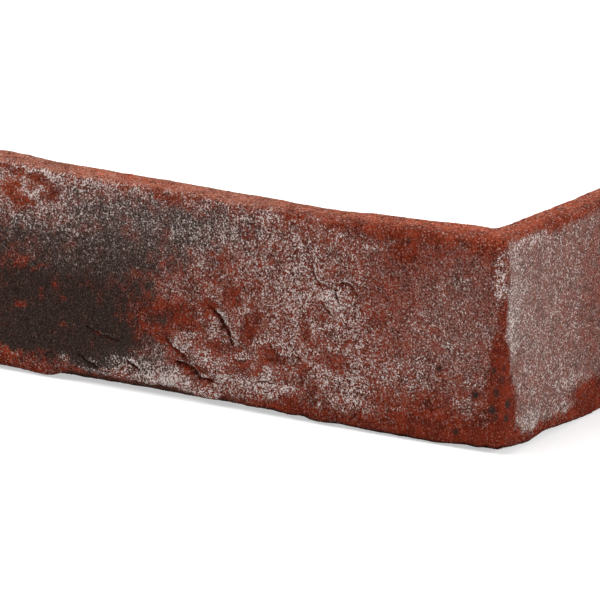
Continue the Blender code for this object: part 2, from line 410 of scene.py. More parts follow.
# %% Smooth steps, smooth lines and noise
def smooth(share):
    """0 to 1 with no kink at either end."""
    share = np.clip(share, 0, 1)
    return share * share * (3 - 2 * share)


def along_curve(knots, place):
    """The value of a smooth line through (place, value) knots."""
    places, values = np.array(knots, float).T
    left = np.clip(np.searchsorted(places, place) - 1, 0, len(places) - 2)
    share = smooth((place - places[left]) / (places[left + 1] - places[left]))
    return values[left] * (1 - share) + values[left + 1] * share


def noise_at(points):
    """Perlin noise at each row of an array of points."""
    return np.array([noise.noise(Vector(point)) for point in points])


def skin_noise(place, height, size, layer=0.0, shift=0.0):
    """Noise on the unrolled skin, of about a size in mm. Layer and shift pick another pattern."""
    spots = np.stack([place / size, height / size, np.full(len(place), layer)], axis=1)
    return noise_at(spots + shift)


def sway(waves, place, height, layer=0.0, shift=0.0):
    """The sum of skin noises of several sizes, each with its own reach."""
    return sum(reach * skin_noise(place, height, size, layer, shift) for size, reach in waves)


# %% [markdown]
# Soft clay that was thrown into a mould leaves folds: the clay creeps over itself, and a crack with
# a pale lip stays where the two tongues meet. The solid has the broad hollow of each fold. Here
# come the fine cracks themselves, as smooth lines with a narrow groove and a lip on one side. The
# cells near them are split in four first, because a groove of one millimetre would fall between
# the points of the slab.

# %% Folds and cracks: points of the line, depth and half width, in mm
FOLDS = {
    "long_fold": (((-106, 31), (-99, 28), (-95, 22), (-91, 18)), 1.1, 3.4),
    "upper_fold": (((-119, 19), (-115, 16), (-110, 13)), 0.8, 3.2),
    "lower_fold": (((-114, 11), (-108, 9), (-103, 7)), 1.1, 3.4),
    "lump_arc": (((-67, 50), (-66, 45), (-61, 43), (-55, 45), (-50, 42)), 0.8, 3.2),
    "lump_foot": (((-64, 37), (-59, 34)), 0.7, 3.2),
}
CRACKS = {
    "long_crack": (((-104.5, 31.4), (-102, 30), (-99.2, 27.2), (-97.2, 24.4), (-95.5, 20.5)), 0.8, 0.66),
    "upper_crack": (((-119, 18.8), (-117, 16.6), (-115, 15.1), (-111.5, 13.6)), 0.6, 0.5),
    "lower_crack": (((-115.5, 12), (-112, 11), (-109.5, 9.8), (-107.3, 7.8), (-103, 6.4)), 0.95, 0.78),
    "low_lip_crack": (((-95, 16.2), (-92.5, 15.8), (-90, 16)), 0.4, 0.4),
    "foot_line": (((-86, 9.8), (-83, 10.6), (-80.5, 10.3)), 0.4, 0.4),
    "pore_ring": (((-66.8, 6.2), (-65.6, 7.2), (-64.3, 6.3), (-65.2, 5.1), (-66.6, 5.5)), 0.2, 0.3),
    "lump_left": (((-67.5, 50.5), (-66.5, 47), (-65, 44.5), (-60, 43.5)), 0.32, 0.42),
    "lump_slit": (((-59, 43.2), (-58, 41.5), (-56.5, 39)), 0.8, 0.45),
    "lump_roof": (((-57.5, 44.9), (-55, 45.9), (-52.7, 44.6), (-51.2, 42.2)), 0.4, 0.46),
    "lump_foot": (((-63.5, 38.3), (-61.5, 36.5), (-59.8, 35)), 0.7, 0.42),
    "middle_crack": (((-82, 23.5), (-79, 20.3), (-74.5, 19.5)), 0.3, 0.42),
    "burnt_crack": (((-148.5, 18.5), (-144.5, 17), (-140.5, 15.8), (-136, 15.6)), 0.45, 0.42),
    "foot_crack": (((-133, 9.2), (-131, 7.5), (-128.5, 5.5)), 0.7, 0.7),
    "burnt_foot_crack": (((-151, 8.5), (-147.5, 5.5), (-144, 3.4)), 0.6, 0.65),
}
LINE_STEPS = 6


def through(points):
    """A smooth line (Catmull-Rom) through a few points, as closer points."""
    points = np.array(points, float)
    points = np.vstack([2 * points[0] - points[1], points, 2 * points[-1] - points[-2]])
    line = []
    for a, b, c, d in zip(points, points[1:], points[2:], points[3:]):
        for share in np.arange(LINE_STEPS) / LINE_STEPS:
            bend = (2 * a - 5 * b + 4 * c - d) * share**2 + (3 * b - a - 3 * c + d) * share**3
            line.append(b + ((c - a) * share + bend) / 2)
    return np.array(line + [points[-2]])


crack_lines = {name: (through(points), depth, half) for name, (points, depth, half) in CRACKS.items()}
print("folds:", len(FOLDS), "cracks:", len(crack_lines))

# %% Grooves along a line
FOLD_LIP, FOLD_LIP_ASIDE = 0.4, 1.3


def gaps_to(line, place, height):
    """How far each point is from a line, how far aside of it, and how far along it (0 to 1)."""
    spots = np.stack([place, height], axis=1)
    gap, aside, along_line = np.full(len(spots), 1e3), np.zeros(len(spots)), np.zeros(len(spots))
    for step, (start, end) in enumerate(zip(line, line[1:])):
        run = end - start
        share = np.clip((spots - start) @ run / (run @ run), 0, 1)
        away = spots - start - share[:, None] * run
        here = np.hypot(away[:, 0], away[:, 1])
        nearer = here < gap
        gap[nearer] = here[nearer]
        side = (run[0] * away[:, 1] - run[1] * away[:, 0]) / np.hypot(*run)
        aside[nearer] = side[nearer]
        along_line[nearer] = (step + share[nearer]) / (len(line) - 1)
    return gap, aside, along_line


def groove(line, depth, half_width, place, height):
    """A groove along a line, with a lip of pushed-up material beside it, in mm."""
    gap, aside, _ = gaps_to(line, place, height)
    past_end = np.sqrt(np.maximum(gap**2 - aside**2, 0))
    from_lip = np.hypot(aside - FOLD_LIP_ASIDE * half_width, past_end)
    relief = -depth * np.exp(-2 * (gap / half_width) ** 2)
    return relief + FOLD_LIP * depth * np.exp(-2 * (from_lip / half_width) ** 2)


# %% Split the cells that a crack runs through
FACE_DEPTH = 0.4
CRACK_REACH = 1.8
CELL_REACH = 0.6
CRACK_CUTS = 3


def unrolled(points):
    """Place along the stone, depth behind the face and height of each point, in mm."""
    across, behind = CORNER_X - points[:, 0], points[:, 1] - FACE_Y
    return (behind - across) / MM, np.minimum(across, behind) / MM, points[:, 2] / MM


def points_of(mesh, source="vertices", what="co"):
    """The points, normals or face centres of a mesh as an array."""
    items = getattr(mesh, source)
    values = np.empty(len(items) * 3)
    items.foreach_get(what, values)
    return values.reshape(-1, 3)


def move_points(mesh, points):
    mesh.vertices.foreach_set("co", points.ravel())
    mesh.update()


place, depth, height = unrolled(points_of(stone.data, "polygons", "center"))
near = np.zeros(len(place), bool)
on_face = np.flatnonzero(depth < FACE_DEPTH)
for line, _, half_width in crack_lines.values():
    gap, _, _ = gaps_to(line, place[on_face], height[on_face])
    near[on_face[gap < CRACK_REACH * half_width + CELL_REACH]] = True
cells = bmesh.new()
cells.from_mesh(stone.data)
cells.faces.ensure_lookup_table()
edges = {edge for index in np.flatnonzero(near) for edge in cells.faces[index].edges}
bmesh.ops.subdivide_edges(cells, edges=list(edges), cuts=CRACK_CUTS, use_grid_fill=True)
cells.to_mesh(stone.data)
cells.free()
print("split cells:", int(near.sum()), "points now:", len(stone.data.vertices))

# %% Move the points to the waves of the solid
points = points_of(stone.data)
normals = points_of(stone.data, "vertex_normals", "vector")
place, depth, height = unrolled(points)
near_face = 1 - smooth(depth / WEAR_DEPTH)
near_bed = 1 - smooth(height / WEAR_HEIGHT)
relief = np.zeros(len(points))
for layer, (length, rise) in enumerate(WANDER):
    relief += rise * skin_noise(place, height, length, layer * WANDER_LAYER)
for lump_place, lump_height, lump_radius, rise in LUMPS.values():
    relief += rise * (1 - smooth(np.hypot(place - lump_place, height - lump_height) / lump_radius))
for fold, fold_depth, half_width in FOLDS.values():
    relief += groove(through(fold), fold_depth, half_width, place, height)
flat_normals = normals * (1, 1, 0)
rise = height * (1 + along_curve(COURSE_WANDER, place) / (SIZES["Course height"] / MM))
rise += along_curve(LOWER_WEAR, place) * near_face * near_bed
moved = points + flat_normals * (near_face * relief)[:, None] * MM
moved[:, 2] = rise * MM
move_points(stone.data, moved)
print("waved box, mm:", np.round(moved.min(axis=0) / MM, 2), np.round(moved.max(axis=0) / MM, 2))

# %% [markdown]
# Now the fine relief that the solid leaves out. The cracks go in first. Then the whole skin gets
# the pucker of moulded clay at two sizes, the arrises lose small chips, and shallow dents stay
# where grains of slag sat. All of it is small next to the waves, and it is pushed along the
# surface's own normals, so the same rule serves the face, the beds, the ends and the backs. Last,
# the foot of the face gets the uneven edge that it has over the floor.

# %% Cracks and their lips, with a mask of painted shade inside them
CRACK_BEND = ((2.4, 0.5), (0.9, 0.35))
CRACK_BREAK_SIZE, CRACK_BREAKS = 1.44, 0.9
CRACK_LIP, CRACK_LIP_ASIDE, CRACK_LIP_REACH = 0.35, 1.6, 2.4
CRACK_TIP, SHADE_REACH, FULL_SHADE_DEPTH = 0.4, 1.25, 0.5
FACE_FROM, FACE_EDGE = 0.2, 1.5

points = points_of(stone.data)
normals = points_of(stone.data, "vertex_normals", "vector")
face_share = 1 - smooth((depth - FACE_FROM) / FACE_EDGE)
crack_place = place + sway(CRACK_BEND, place, height, shift=21.0)
crack_height = height + sway(CRACK_BEND, place, height, shift=43.0)
crack_breaks = 1 + CRACK_BREAKS * skin_noise(place, height, CRACK_BREAK_SIZE, shift=61.0)
fine, cracks, lip_lime = np.zeros((3, len(points)))
for line, crack_depth, half_width in crack_lines.values():
    gap, aside, along_line = gaps_to(line, crack_place, crack_height)
    taper = np.sqrt(np.clip(4 * along_line * (1 - along_line), 0, 1))
    width = half_width * (CRACK_TIP + (1 - CRACK_TIP) * taper) * crack_breaks
    inside = np.exp(-2 * (gap / width) ** 2)
    beside = ((aside - CRACK_LIP_ASIDE * width) / width) ** 2
    lip = np.exp(-0.5 * beside) * np.exp(-0.5 * (gap / (CRACK_LIP_REACH * width)) ** 2)
    fine += crack_depth * (CRACK_LIP * lip - inside) * face_share
    # Painted shade: a mask round each groove, by which the colour is later darkened as if shade lay in the
    # crack. The same mask keeps lime and film out of the crack.
    shade = np.exp(-((gap / (SHADE_REACH * width)) ** 2)) * face_share
    cracks = np.maximum(cracks, min(1.0, crack_depth / FULL_SHADE_DEPTH) * shade)
    lip_lime = np.maximum(lip_lime, lip * taper)
print("deepest crack, mm:", round(float(-fine.min()), 2))

# %% Pucker, chips and slag dents
PUCKER = ((5.0, 0.16), (1.9, 0.1))
CHIP_SIZE, CHIP_DEPTH, CHIP_FROM = 3.2, 0.9, 0.12
ARRIS_FROM, ARRIS_EDGE = 0.02, 0.2
SLAG_DEPTH, RESTING_TILT = 0.15, -0.7
SLAG = {
    "long_low": (-9.2, 17.2, 1.4),
    "long_mid": (-1.8, 19, 1.4),
    "corner": (0.2, 22.8, 1.4),
    "corner_high": (1.4, 26.2, 0.9),
    "long_high": (-2.8, 25.4, 0.8),
    "long_foot": (-3.4, 13.4, 1.5),
    "long_speck": (-1.8, 11, 0.9),
    "short_mid": (3.9, 15, 1.6),
    "short_low": (2.8, 10.8, 1.4),
    "foot": (-16, 4.2, 1.2),
    "far_foot": (-22, 23.5, 0.8),
    "top": (-33, 61, 0.9),
}

for length, rise in PUCKER:
    fine += rise * noise_at(points / (length * MM) + 11.0)
edge_share = smooth((1 - np.abs(normals).max(axis=1) - ARRIS_FROM) / ARRIS_EDGE)
chips = noise_at(points / (CHIP_SIZE * MM) + 37.0)
fine -= CHIP_DEPTH * edge_share * np.clip(chips - CHIP_FROM, 0, 1)
for slag_place, slag_height, slag_radius in SLAG.values():
    gap = np.hypot(place - slag_place, height - slag_height) / slag_radius
    fine -= SLAG_DEPTH * face_share * (1 - smooth(gap))
resting = (normals[:, 2] < RESTING_TILT) & (depth > WEAR_DEPTH)
fine[resting] = 0
print("fine relief, mm:", round(float(fine.min()), 2), "to", round(float(fine.max()), 2))

# %% The uneven foot of the face: place and rise
FOOT_CHIPS = (
    (-172, 0), (-159, -0.7), (-152, 0.1), (-143, 0), (-139, 0.4), (-135, 0.1), (-124, 0.1),
    (-118, 0.7), (-110, 0.2), (-102, -0.4), (-99.6, -0.3), (-98.4, 0.8), (-95, -0.1), (-89, -0.6),
    (-80.5, -0.1), (-77, -0.6), (-72, -0.4), (-68.8, 0.4), (-66.5, -0.3), (-56, 0.4), (-46, 0),
    (-30, -0.1), (-20, -0.4), (-11.5, 0.3), (-8, -0.2), (-5, 0.2), (7, -0.5), (20, -0.3), (26, 0.3),
    (34, -0.3), (42, 0), (58, -0.5), (70, 0),
)
FOOT_DEPTH, FOOT_HEIGHT = 6, 7

points = points + normals * fine[:, None] * MM
at_foot = (1 - smooth(depth / FOOT_DEPTH)) * (1 - smooth(height / FOOT_HEIGHT))
points[:, 2] += np.interp(place, *np.array(FOOT_CHIPS).T) * at_foot * MM
points[:, 2] = np.maximum(points[:, 2], 0)
move_points(stone.data, points)
print("dressed box, mm:", np.round(points.min(axis=0) / MM, 2), np.round(points.max(axis=0) / MM, 2))

# %% [markdown]
# The colours of this stone lie in clouds: a burnt cloud on the far end of the long leg, a grey veil
# above it, bare red round the arrises and lime nearly everywhere else. Painting them by hand would
# tie them to a picture file. Here each cloud is a soft patch with a place, a height and two
# reaches in mm. The patches are summed on the points of the mesh and kept as attributes, which
# travel with the stone. Their borders are bent by noise first, so that no patch shows its shape.

# %% Lime: place, height, reach along, reach up and strength of each soft patch
LIME = {
    "near_corner": (-15, 38, 22, 30, 0.345),
    "centre_right": (-41, 28, 16, 20, 0.17),
    "right_top": (-44, 53, 13, 7, 0.15),
    "right_low": (-36, 18, 16, 7, 0.17),
    "centre": (-62, 34, 18, 34, 0.37),
    "centre_left": (-94, 34, 23, 38, 0.37),
    "left_top": (-114, 52, 18, 18, 0.09),
    "far_top": (-142, 57, 30, 12, 0.29),
    "far_end": (-182, 58, 26, 12, 0.42),
    "far_veil": (-164, 41, 26, 10, 0.17),
    "burnt_dust": (-152, 33, 26, 9, 0.1),
    "burnt_dust_low": (-141, 13, 12, 7, 0.15),
    "burnt_dust_foot": (-152, 7, 9, 4, 0.16),
    "side_veil": (-130, 41, 12, 6, 0.1),
    "side_low": (-118, 34, 7, 5, 0.15),
    "side_foot": (-125, 15, 6, 5, 0.2),
    "far_foot_dust": (-168, 4.5, 9, 3, 0.2),
    "far_back": (-206, 40, 14, 26, 0.25),
    "top_line": (-146, 64, 40, 3.5, 0.2),
    "lump": (-60, 40.5, 4.4, 3, 0.26),
    "lump_low": (-56, 36, 5, 3.5, 0.1),
    "lip_left": (-101.5, 24.5, 2.5, 3, 0.18),
    "lip_right": (-94.2, 22, 1.3, 3.5, 0.24),
    "lip_low": (-92, 17.2, 2.2, 1.2, 0.24),
    "middle": (-79, 25.5, 4.2, 2.8, 0.12),
    "middle_right": (-75.5, 22, 2.5, 2.2, 0.16),
    "upper_middle": (-84, 58, 16, 6, 0.14),
    "lump_left": (-70, 52, 8, 6, 0.17),
    "top_specks": (-50, 60, 10, 4, 0.14),
    "top_bits": (-38, 60, 3, 1.5, 0.2),
    "foot": (-84, 8, 7, 3.5, 0.4),
    "foot_bright": (-75, 8.6, 4, 2.2, 0.3),
    "mid_foot": (-83, 14.5, 4, 2.4, 0.2),
    "side_low_edge": (-117, 14.5, 7, 2.6, 0.2),
    "upper_edge": (-82, 62.5, 5, 2.5, 0.22),
    "upper_edge_right": (-61, 62.5, 12, 2.4, 0.14),
    "upper_edge_left": (-107, 63, 3.5, 2, 0.2),
    "far_edge": (-162, 63, 3.5, 2, 0.14),
    "foot_bits_left": (-96, 8, 5, 3.5, 0.3),
    "foot_mid": (-104, 14.5, 4.5, 3.4, 0.3),
    "foot_mid_side": (-97.5, 14.5, 2.6, 2.6, 0.14),
    "foot_mid_low": (-81.5, 14.5, 4, 2.6, 0.16),
    "corner_low": (-9.5, 21, 4.5, 3.5, 0.16),
    "right_high": (-43, 57.5, 7, 4, 0.1),
    "right_foot": (-42, 9, 6, 3, 0.16),
    "foot_low": (-102, 8, 6, 3, 0.2),
    "foot_left": (-119, 6, 9, 5.2, 0.46),
    "foot_edge": (-120, 1.6, 36, 3.2, 0.48),
    "foot_edge_right": (-82, 2.5, 4, 3, 0.2),
    "short_top_near": (13, 62, 10, 2.5, 0.14),
    "foot_fold": (-113, 18.8, 4.5, 3.2, 0.38),
    "foot_far": (-134, 8, 9, 5, 0.36),
    "foot_right": (-56, 15, 10, 5, 0.18),
    "foot_streak": (-54, 8.5, 7, 2.8, 0.26),
    "foot_end": (-46, 6, 3, 1.6, 0.3),
    "foot_bits": (-33, 8.5, 4, 1.6, 0.26),
    "arris_patch": (-0.8, 53.8, 2.3, 8.5, 0.48),
    "arris_top": (2.4, 59, 1.7, 4, 0.14),
    "arris_middle": (2.2, 49, 1.5, 3, 0.15),
    "corner_bits": (-12, 13, 6, 3.5, 0.24),
    "far_foot": (-156.5, 6.5, 2.5, 1.8, 0.4),
    "short_foot": (17, 6.5, 6, 4.3, 0.18),
    "short_foot_mid": (35, 5, 7, 3.4, 0.2),
    "short_foot_bits": (40, 14, 6, 2.8, 0.2),
    "short_top_bit": (34.5, 64, 2, 0.8, 0.6),
}

# %% Bare concrete, and the red spots that break the lime
BARE = {
    "top_band": (-33, 67.8, 37, 4.8, 1),
    "top_dip": (-35, 57.3, 5, 2.6, 0.36),
    "top_spot": (-75, 64.5, 6, 1.6, 0.3),
    "foot_corner": (-16, 0, 27, 8.5, 1),
    "foot_long": (-62, -1, 36, 4.8, 0.7),
    "foot_edge": (-170, -1, 30, 2.6, 0.3),
    "arris_side": (-2.2, 22, 2, 13, 0.9),
    "arris_line_top": (3.2, 55, 0.9, 6, 0.24),
    "arris_line": (0.6, 40, 1.3, 7, 0.6),
    "arris_low": (1, 27, 3, 7, 0.8),
    "arris_foot": (2.5, 13, 5.3, 13, 1),
    "short_top": (33, 66.5, 6.5, 4.2, 1),
    "short_foot_bare": (61, -1.5, 16.5, 10.4, 1),
    "short_edge": (30, -1, 30, 2.6, 0.9),
    "short_end": (92, 8, 12, 9, 0.4),
    "top_right": (-7, 63.5, 7, 2.6, 0.22),
    "short_top_far": (51, 64.5, 13, 2.4, 0.24),
    "short_end_red": (56, 38, 9, 22, 0.09),
    "short_near_red": (9, 27, 3.5, 4, 0.14),
    "short_low_red": (50, 8.5, 9, 3, 0.24),
    "burnt_core": (-162, 20, 32, 13, 0.4),
}
RED_SPOTS = (
    (-133, 63.8, 3, 1.2, 0.34), (-120, 63, 5, 1.2, 0.26), (-147, 65, 3, 1.2, 0.3),
    (-109, 64, 4, 1.2, 0.2), (-114, 26.5, 4.5, 3.8, 0.5), (-95, 36, 3.5, 3, 0.3),
    (-88, 27.5, 3, 4.5, 0.34), (-121, 28, 6, 2.5, 0.16), (-69, 29.5, 1.8, 4, 0.22),
    (-103.5, 31, 3, 1.8, 0.34), (-101, 18, 3, 3.2, 0.22), (-84, 17, 2.5, 3, 0.24),
    (-70, 16, 1.8, 3.5, 0.2), (-95, 18.8, 3, 1.4, 0.16), (-44, 36, 3.5, 2, 0.16),
    (-25, 13, 5, 4, 0.1), (-64, 34.5, 2.2, 1.2, 0.2), (-41, 12, 4, 3.5, 0.08),
    (-57, 18, 2, 1.5, 0.14), (-91, 24, 2, 2, 0.2), (-94, 12, 4, 2, 0.1),
    (-67.5, 26.5, 4, 2.8, 0.16), (-108, 10, 4, 1.5, 0.3), (-81, 19.5, 4, 2.6, 0.22),
    (-59, 20.5, 5, 2.8, 0.25), (-99, 46, 5, 4, 0.12), (-74, 51, 3.5, 3, 0.14),
    (-90, 57, 4, 3, 0.14), (-176, 57.3, 3.4, 2.8, 0.56), (-165, 61, 5, 1.5, 0.42),
    (-168.5, 58.5, 2.2, 1.5, 0.34), (-163.5, 56.5, 2, 1.2, 0.32), (-174, 62.5, 3.4, 1.6, 0.42),
    (-179, 64, 3, 1.4, 0.3), (-171, 51.5, 2.4, 1, 0.24), (-171, 54.2, 4, 1.3, 0.42),
    (-160, 58, 2.4, 1.9, 0.36),
)

# %% Burnt colouring, the red that shows through it, and the red that fire turned orange
BURNT = {
    "core": (-166, 21.5, 26, 16, 1.1),
    "bridge": (-148, 30, 7, 5, 0.25),
    "far_low": (-166, 9, 22, 4, 0.35),
    "lobe": (-140, 17, 9, 8, 0.95),
    "far_end": (-203, 26, 14, 26, 0.95),
    "veil": (-134, 55, 30, 12, 0.7),
    "veil_low": (-152, 42, 32, 8, 0.5),
    "middle_veil": (-111, 46, 8, 6, 0.22),
    "veil_far": (-174, 46, 16, 6, 0.28),
    "side": (-132, 34, 14, 11, 0.5),
    "side_foot": (-124, 17, 8, 8, 0.34),
    "side_red": (-115, 27, 9, 8, 0.2),
    "foot": (-147, 6, 6, 4.5, 0.8),
    "foot_left": (-126, 6, 20, 6, 0.56),
    "upper": (-105, 57, 16, 8, 0.42),
    "middle_top": (-86, 54, 12, 7, 0.3),
}
RED_THROUGH = {
    "far_foot": (-178, 4.5, 4, 2.4, 0.7),
    "foot": (-166, 5.5, 7, 2, 0.14),
    "far_mottle": (-174, 59, 8, 5.5, 0.6),
    "side_strip": (-130, 22, 5, 4, 0.26),
    "fold_strip": (-143, 16.8, 3.5, 0.9, 0.5),
}
THROUGH_SPOTS = (
    (-166, 34, 1.8, 1.2, 0.6), (-173, 22, 2.4, 1, 0.78), (-165, 25.5, 1.3, 2, 0.66),
    (-170.5, 35.5, 1.2, 1.3, 0.6), (-175, 33.5, 1.3, 1, 0.58), (-157.5, 17.5, 1.9, 1.1, 0.78),
    (-160, 30, 1.3, 1.3, 0.66), (-156, 26, 2.4, 1.2, 0.66), (-137.5, 23, 3, 1, 0.55),
    (-146, 30.5, 4.5, 1.8, 0.14), (-127, 37, 4, 1.5, 0.3), (-134, 63.8, 3, 1.3, 0.7),
    (-122, 63, 3, 1.3, 0.6), (-113, 62.5, 4, 1.5, 0.6),
)
SCORCHED_RED = {
    "far_foot": (-178, 4.5, 4, 2.4, 0.3),
    "far_top": (-174, 58, 10, 5, 0.8),
    "top_left": (-127, 63.5, 22, 1.8, 0.5),
    "top": (-16, 66, 60, 4, 0.34),
    "short_top": (34, 66, 60, 4, 0.36),
}

# %% A grey film under the specks, and the sheet of film and lime on the short leg
FILM = {
    "near_corner": (-15, 40, 24, 24, 0.26),
    "arris_top": (2.6, 59, 1.7, 4, 0.1),
    "arris_middle": (2.4, 49, 1.5, 3, 0.1),
    "short_near": (19, 36, 14, 28, 0.09),
    "near_strip": (6, 42, 4.5, 24, 0.18),
    "short_foot": (17, 6.5, 6, 4.5, 0.4),
    "foot_left": (-122, 8, 14, 6, 0.26),
    "far_top": (-140, 54, 60, 11, 0.18),
}
SHEET_FROM, SHEET_FOOT, SHEET_TOP, SHEET_EDGE = 1.8, 3.5, 65.2, 1.8
SHEET_LIME, SHEET_FILM = 0.365, 0.37
print("patches of lime, bare, burnt and film:", len(LIME), len(BARE), len(BURNT), len(FILM))

# %% Sum the clouds on the points
PATCH_BEND = ((9.0, 1.0), (3.4, 1.5), (1.3, 1.0))
PLACE_LAYER, HEIGHT_LAYER = 3.1, 8.8
LIME_DRIFT, LIME_LAYER = ((7.0, 0.05), (2.8, 0.09)), 5.3
BURNT_DRIFT, BURNT_LAYER = ((6.5, 0.26), (2.3, 0.24)), 8.9
FULL_DRIFT, MOST_DRIFT = 0.4, 0.5
LEAST_LIME, LIP_LIME = -0.1, 0.6
BARE_CRISPNESS, BURNT_CRISPNESS = 2.2, 1.1


def clouds(patches, place, height, crispness=1.4):
    """The sum of soft patches at each point. A crisp patch is flat inside and ends sooner."""
    total = np.zeros(len(place))
    for centre, middle, along_reach, up_reach, strength in patches:
        gap = ((place - centre) / along_reach) ** 2 + ((height - middle) / up_reach) ** 2
        total += strength * np.exp(-(gap**crispness))
    return total


cloud_place = place + sway(PATCH_BEND, place, height, PLACE_LAYER)
cloud_height = height + sway(PATCH_BEND, place, height, HEIGHT_LAYER)
cloud_spots = (cloud_place, cloud_height)
bare = clouds([*BARE.values(), *RED_SPOTS], *cloud_spots, BARE_CRISPNESS)
sheet = smooth((cloud_place - SHEET_FROM) / SHEET_EDGE)
sheet *= smooth((cloud_height - SHEET_FOOT) / SHEET_EDGE)
sheet *= smooth((SHEET_TOP - cloud_height) / SHEET_EDGE)
lime = clouds(LIME.values(), *cloud_spots) + SHEET_LIME * sheet - bare
for length, drift in LIME_DRIFT:
    drift = drift * np.clip(lime, 0, MOST_DRIFT) / FULL_DRIFT
    lime += drift * skin_noise(place, height, length, LIME_LAYER)
lime = np.maximum(lime, LEAST_LIME) + LIP_LIME * lip_lime
film = clouds(FILM.values(), *cloud_spots) + SHEET_FILM * sheet - bare
burnt = np.minimum(clouds(BURNT.values(), *cloud_spots, BURNT_CRISPNESS), 1)
for length, drift in BURNT_DRIFT:
    burnt += drift * smooth(burnt / FULL_DRIFT) * skin_noise(place, height, length, BURNT_LAYER)
burnt -= clouds([*RED_THROUGH.values(), *THROUGH_SPOTS], *cloud_spots)
scorched = clouds(SCORCHED_RED.values(), *cloud_spots)
slag = np.zeros(len(points))
for slag_place, slag_height, slag_radius in SLAG.values():
    gap = np.hypot(crack_place - slag_place, crack_height - slag_height) / slag_radius
    slag = np.maximum(slag, np.exp(-(gap**4)) * face_share)
lime_share = np.clip(lime, 0, 1)[face_share > 0.5].mean()
print("share of the face under lime:", round(float(lime_share), 2))

# %% Where the beds, the backs and the ends are
BED_TILT, LOW_BED_TILT, LOW_BED, BED_EDGE = 0.55, 0.7, 8, 0.3
BACK_FROM, BACK_EDGE = 9.0, 0.8
LONG_END, SHORT_END, END_TILT, END_EDGE = -100 * MM, 45 * MM, 0.4, 0.4
END_CREEP, END_CREEP_SIZE, END_CREEP_FROM, CREEP_EDGE = 2.2, 3.5, 1.2, 4.5

bed_tilt = np.where(height < LOW_BED, LOW_BED_TILT, BED_TILT)
on_bed = smooth((np.abs(normals[:, 2]) - bed_tilt) / BED_EDGE)
on_back = smooth((depth - BACK_FROM) / BACK_EDGE) * (1 - on_bed)
endways = np.where(points[:, 0] < LONG_END, -normals[:, 0], 0)
endways += np.where(points[:, 1] > SHORT_END, normals[:, 1], 0)
on_end = smooth((endways - END_TILT) / END_EDGE)
end_creep = END_CREEP * noise_at(points / (END_CREEP_SIZE * MM) + 5.0)
past_arris = on_end * smooth((depth - END_CREEP_FROM + end_creep) / CREEP_EDGE)
outer = (1 - on_bed) * (1 - on_back) * (1 - past_arris)
print("share of the points on a back:", round(float(on_back.mean()), 2))

# %% Lime that creeps over the upper arris, dust on the beds and painted shade on the downturned foot
CREEP, CREEP_SWAY, CREEP_SIZE, CREEP_LAYER, LEAST_CREEP = 3.6, 1.4, 3.2, 2.7, 0.8
OVER_ARRIS, FAR_OVER_ARRIS, FAR_ALONG, UPPER_BED = 0.14, 0.24, 90, 30
ORANGE_FROM, ORANGE_EDGE, DUST_SHARE, DUST_FROM = -105, 45, 0.9, 1.5
FOOT_FROM, FOOT_EDGE = 1.5, 3.5
DOWN_TILT, FAR_DOWN_TILT, FAR_FROM, FAR_EDGE, DOWN_EDGE = 0.35, 0.2, 85, 15, 0.45

creep = CREEP * (1 + CREEP_SWAY * skin_noise(place, depth, CREEP_SIZE, CREEP_LAYER))
over_arris = OVER_ARRIS + FAR_OVER_ARRIS * smooth(-place / FAR_ALONG)
over_arris *= np.exp(-((depth / np.maximum(creep, LEAST_CREEP)) ** 2))
over_arris *= on_bed * (height > UPPER_BED)
orange_part = smooth((place - ORANGE_FROM) / ORANGE_EDGE)
from_arris = 1 - orange_part * (1 - DUST_SHARE * smooth((depth - DUST_FROM) / CREEP_EDGE))
# Painted shade: the lowest band of the face, where the surface turns down towards the floor, is darkened in
# colour.
low = 1 - smooth((height - FOOT_FROM) / FOOT_EDGE)
turned_down = DOWN_TILT + FAR_DOWN_TILT * smooth((-place - FAR_FROM) / FAR_EDGE)
under = smooth((-normals[:, 2] - turned_down) / DOWN_EDGE) * (1 - on_back) * low

# %% Keep one number between 0 and 1 for each point and each mask
LIME_IN_CRACKS, FILM_IN_CRACKS = 0.5, 0.6

masks = {
    "lime": (lime - LIME_IN_CRACKS * cracks - slag) * outer + over_arris,
    "film": (film - FILM_IN_CRACKS * cracks - slag) * outer,
    "burnt": burnt * outer,
    "scorched": scorched * (1 - on_back),
    "bare": bare * outer,
    "dusty": np.maximum(np.maximum(on_bed * from_arris, on_back), past_arris),
    "back": on_back,
    # Painted shade in the cracks.
    "crack": cracks,
    "slag": slag,
    # Painted shade on the downturned foot.
    "under": under,
}
for name, values in masks.items():
    layer = stone.data.attributes.new(name, "FLOAT", "POINT")
    layer.data.foreach_set("value", np.clip(values, 0, 1).astype(np.float32))
print("masks:", ", ".join(masks))

# %% [markdown]
# The finish has three layers, as the real stone has. The first is the pigmented concrete: red with
# deeper flecks, smoother and even where it is bare, orange along the upper arris, and dusty on the
# beds and backs that no mould has touched. The second is the burnt colouring, charcoal that lets
# the red through in spots. The third is the lime: not a coat but thousands of pale specks, each
# about half a millimetre, whose number follows the attribute. One fine noise places the specks and
# lifts them in the bump, and another gives the flecks and the painted shade in the gaps between the
# specks. Painted shade also darkens the cracks, the air holes of the back and the downturned foot.

